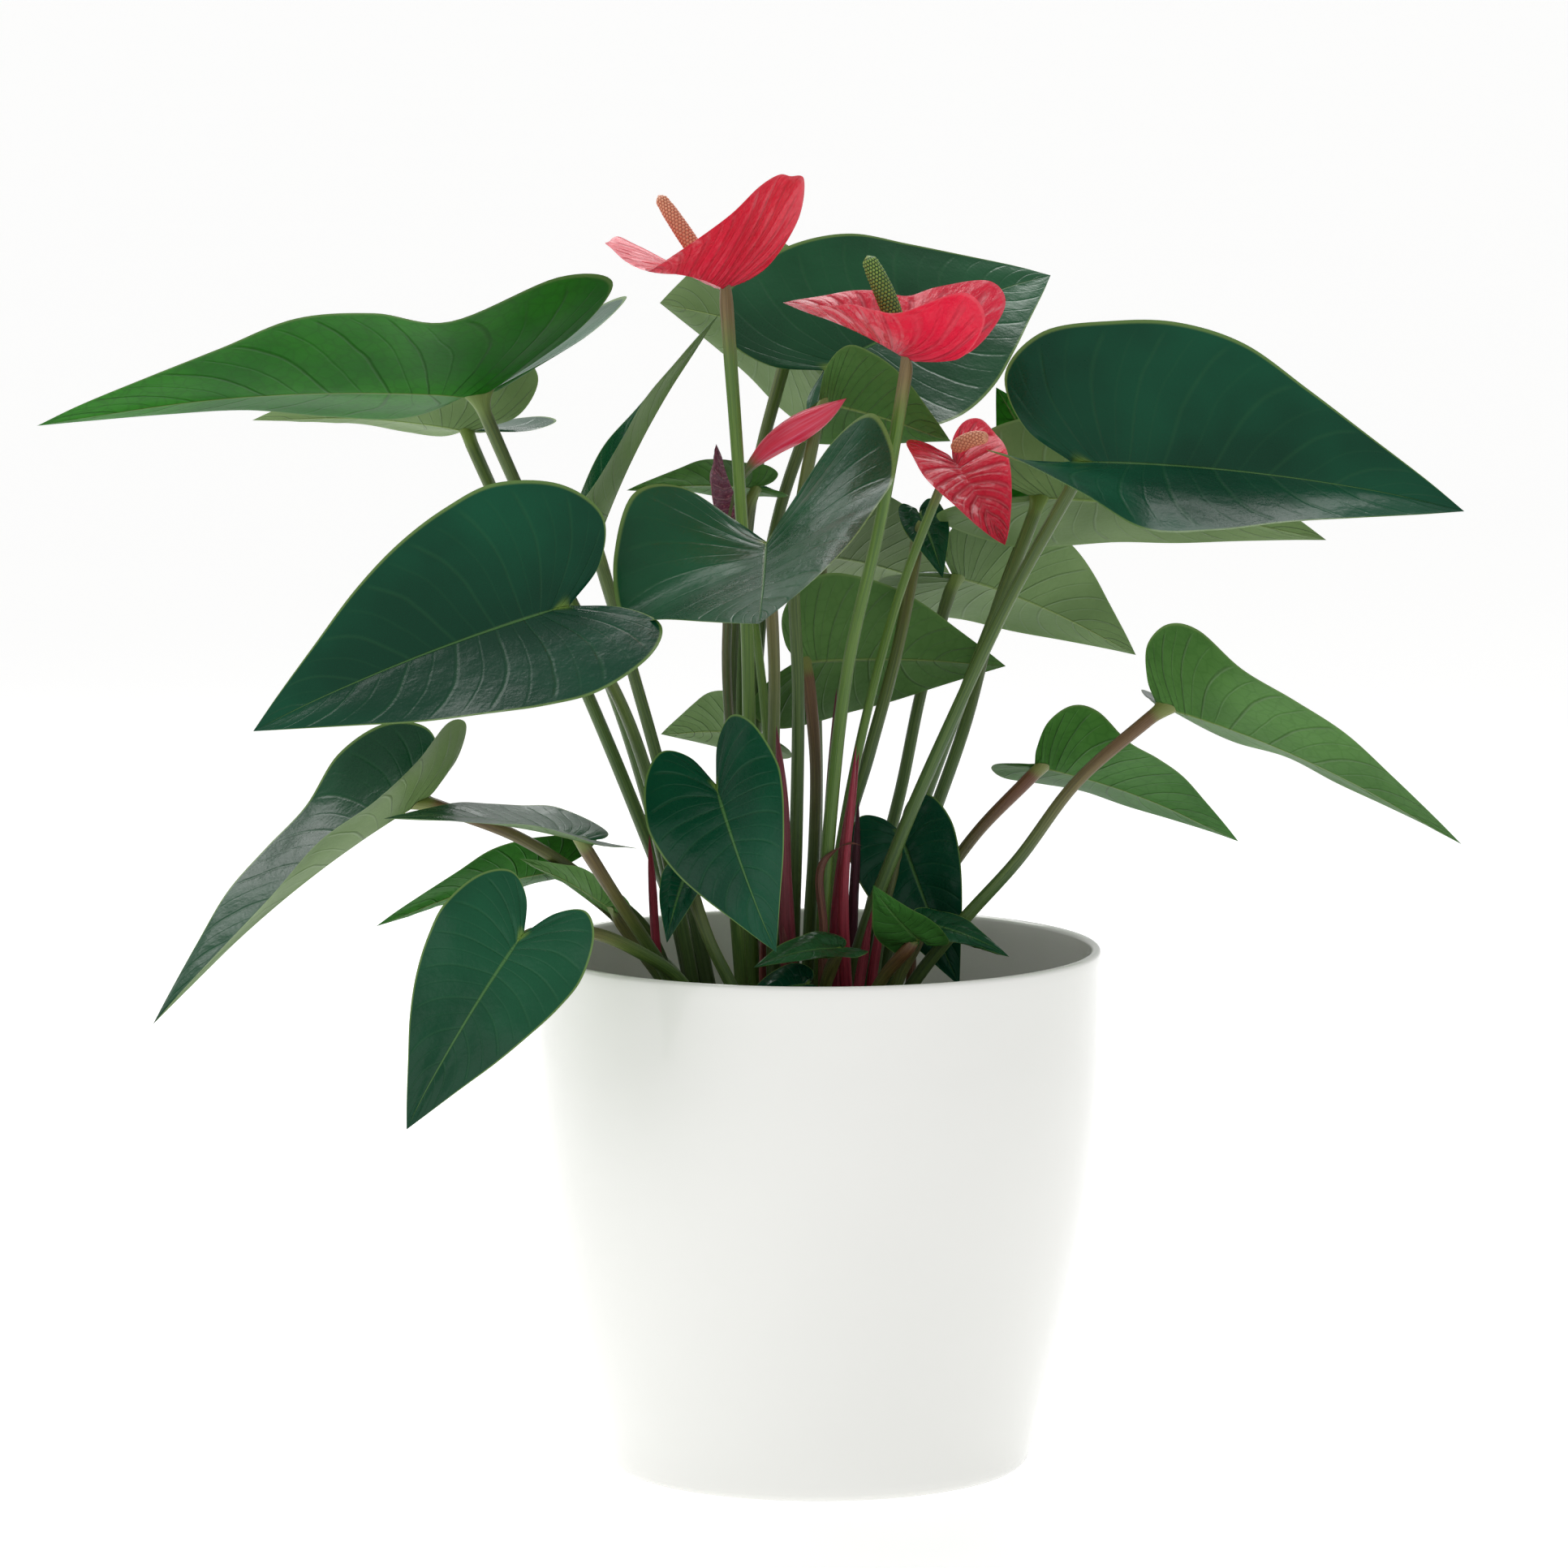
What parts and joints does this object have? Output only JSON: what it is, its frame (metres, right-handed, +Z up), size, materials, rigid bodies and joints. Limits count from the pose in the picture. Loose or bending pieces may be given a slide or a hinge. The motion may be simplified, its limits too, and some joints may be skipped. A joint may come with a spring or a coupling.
{
  "type": "potted flowering plant",
  "caption": "Potted flowering plant with long-stalked glossy heart-shaped leaves and red waxy spathes, rooted in a nursery pot that stands inside a glossy round white cover pot.",
  "frame": {"origin": "centre of the cover pot's flat base, on the floor", "axes": "+Z up along the pot's axis, +X to the right and -Y towards the plant's front, where the pot is round and has no front of its own"},
  "size_m": [0.45, 0.266, 0.4112],
  "materials": {
    "leaf_mature": "glossy dark green upper face, paler underside",
    "leaf_young": "glossy light green",
    "spathe_red": "glossy crimson",
    "spathe_old": "faded purple",
    "spadix_left": "finely bumped",
    "spadix_centre": "finely bumped",
    "spadix_right": "finely bumped",
    "sheath": "papery red brown",
    "spathe_bud": "glossy crimson",
    "cover_pot": "smooth gloss off-white",
    "grow_pot": "plain",
    "potting_mix": "granular"
  },
  "bodies": {
    "root": {"leaf_top_left": "leaf_mature", "leaf_top_left_back": "leaf_mature", "leaf_front_left": "leaf_mature", "leaf_centre": "leaf_mature", "leaf_upright": "leaf_mature", "leaf_crown_back": "leaf_mature", "leaf_crown_right": "leaf_mature", "leaf_crown_low": "leaf_mature", "leaf_right": "leaf_mature", "leaf_right_back": "leaf_mature", "leaf_mid_right": "leaf_mature", "leaf_mid_back": "leaf_mature", "leaf_heart_back": "leaf_mature", "leaf_low_back": "leaf_mature", "leaf_low_right": "leaf_mature", "leaf_low_right_back": "leaf_mature", "leaf_hanging_left": "leaf_mature", "leaf_flat_left": "leaf_mature", "leaf_green_left": "leaf_young", "leaf_small_left": "leaf_mature", "leaf_front_drooping": "leaf_mature", "leaf_front_folded": "leaf_mature", "leaf_hidden": "leaf_mature", "leaf_inner_left": "leaf_mature", "leaf_pot_front": "leaf_mature", "leaf_dark_back": "leaf_mature", "leaf_bright_back": "leaf_mature", "leaf_front_small": "leaf_mature", "leaf_dark_right": "leaf_mature", "leaf_young_right": "leaf_young", "leaf_pointed_right": "leaf_mature", "flower_left": "spathe_red", "flower_centre": "spathe_red", "flower_right": "spathe_red", "flower_old": "spathe_old", "spadix_left": "spadix_left", "spadix_centre": "spadix_centre", "spadix_right": "spadix_right", "shoot_orange": "sheath", "shoot_crimson": "sheath", "shoot_dark": "sheath", "shoot_purple": "sheath", "shoot_front": "sheath", "shoot_left": "sheath", "sheath_red": "sheath", "shoot_bright": "sheath", "shoot_short": "sheath", "sheath_hook": "sheath", "shoot_unfurling": "sheath", "sheath_brown": "sheath", "bud_closed": "spathe_bud", "cover_pot": "cover_pot", "grow_pot": "grow_pot", "potting_mix": "potting_mix"}
  },
  "joints": []
}
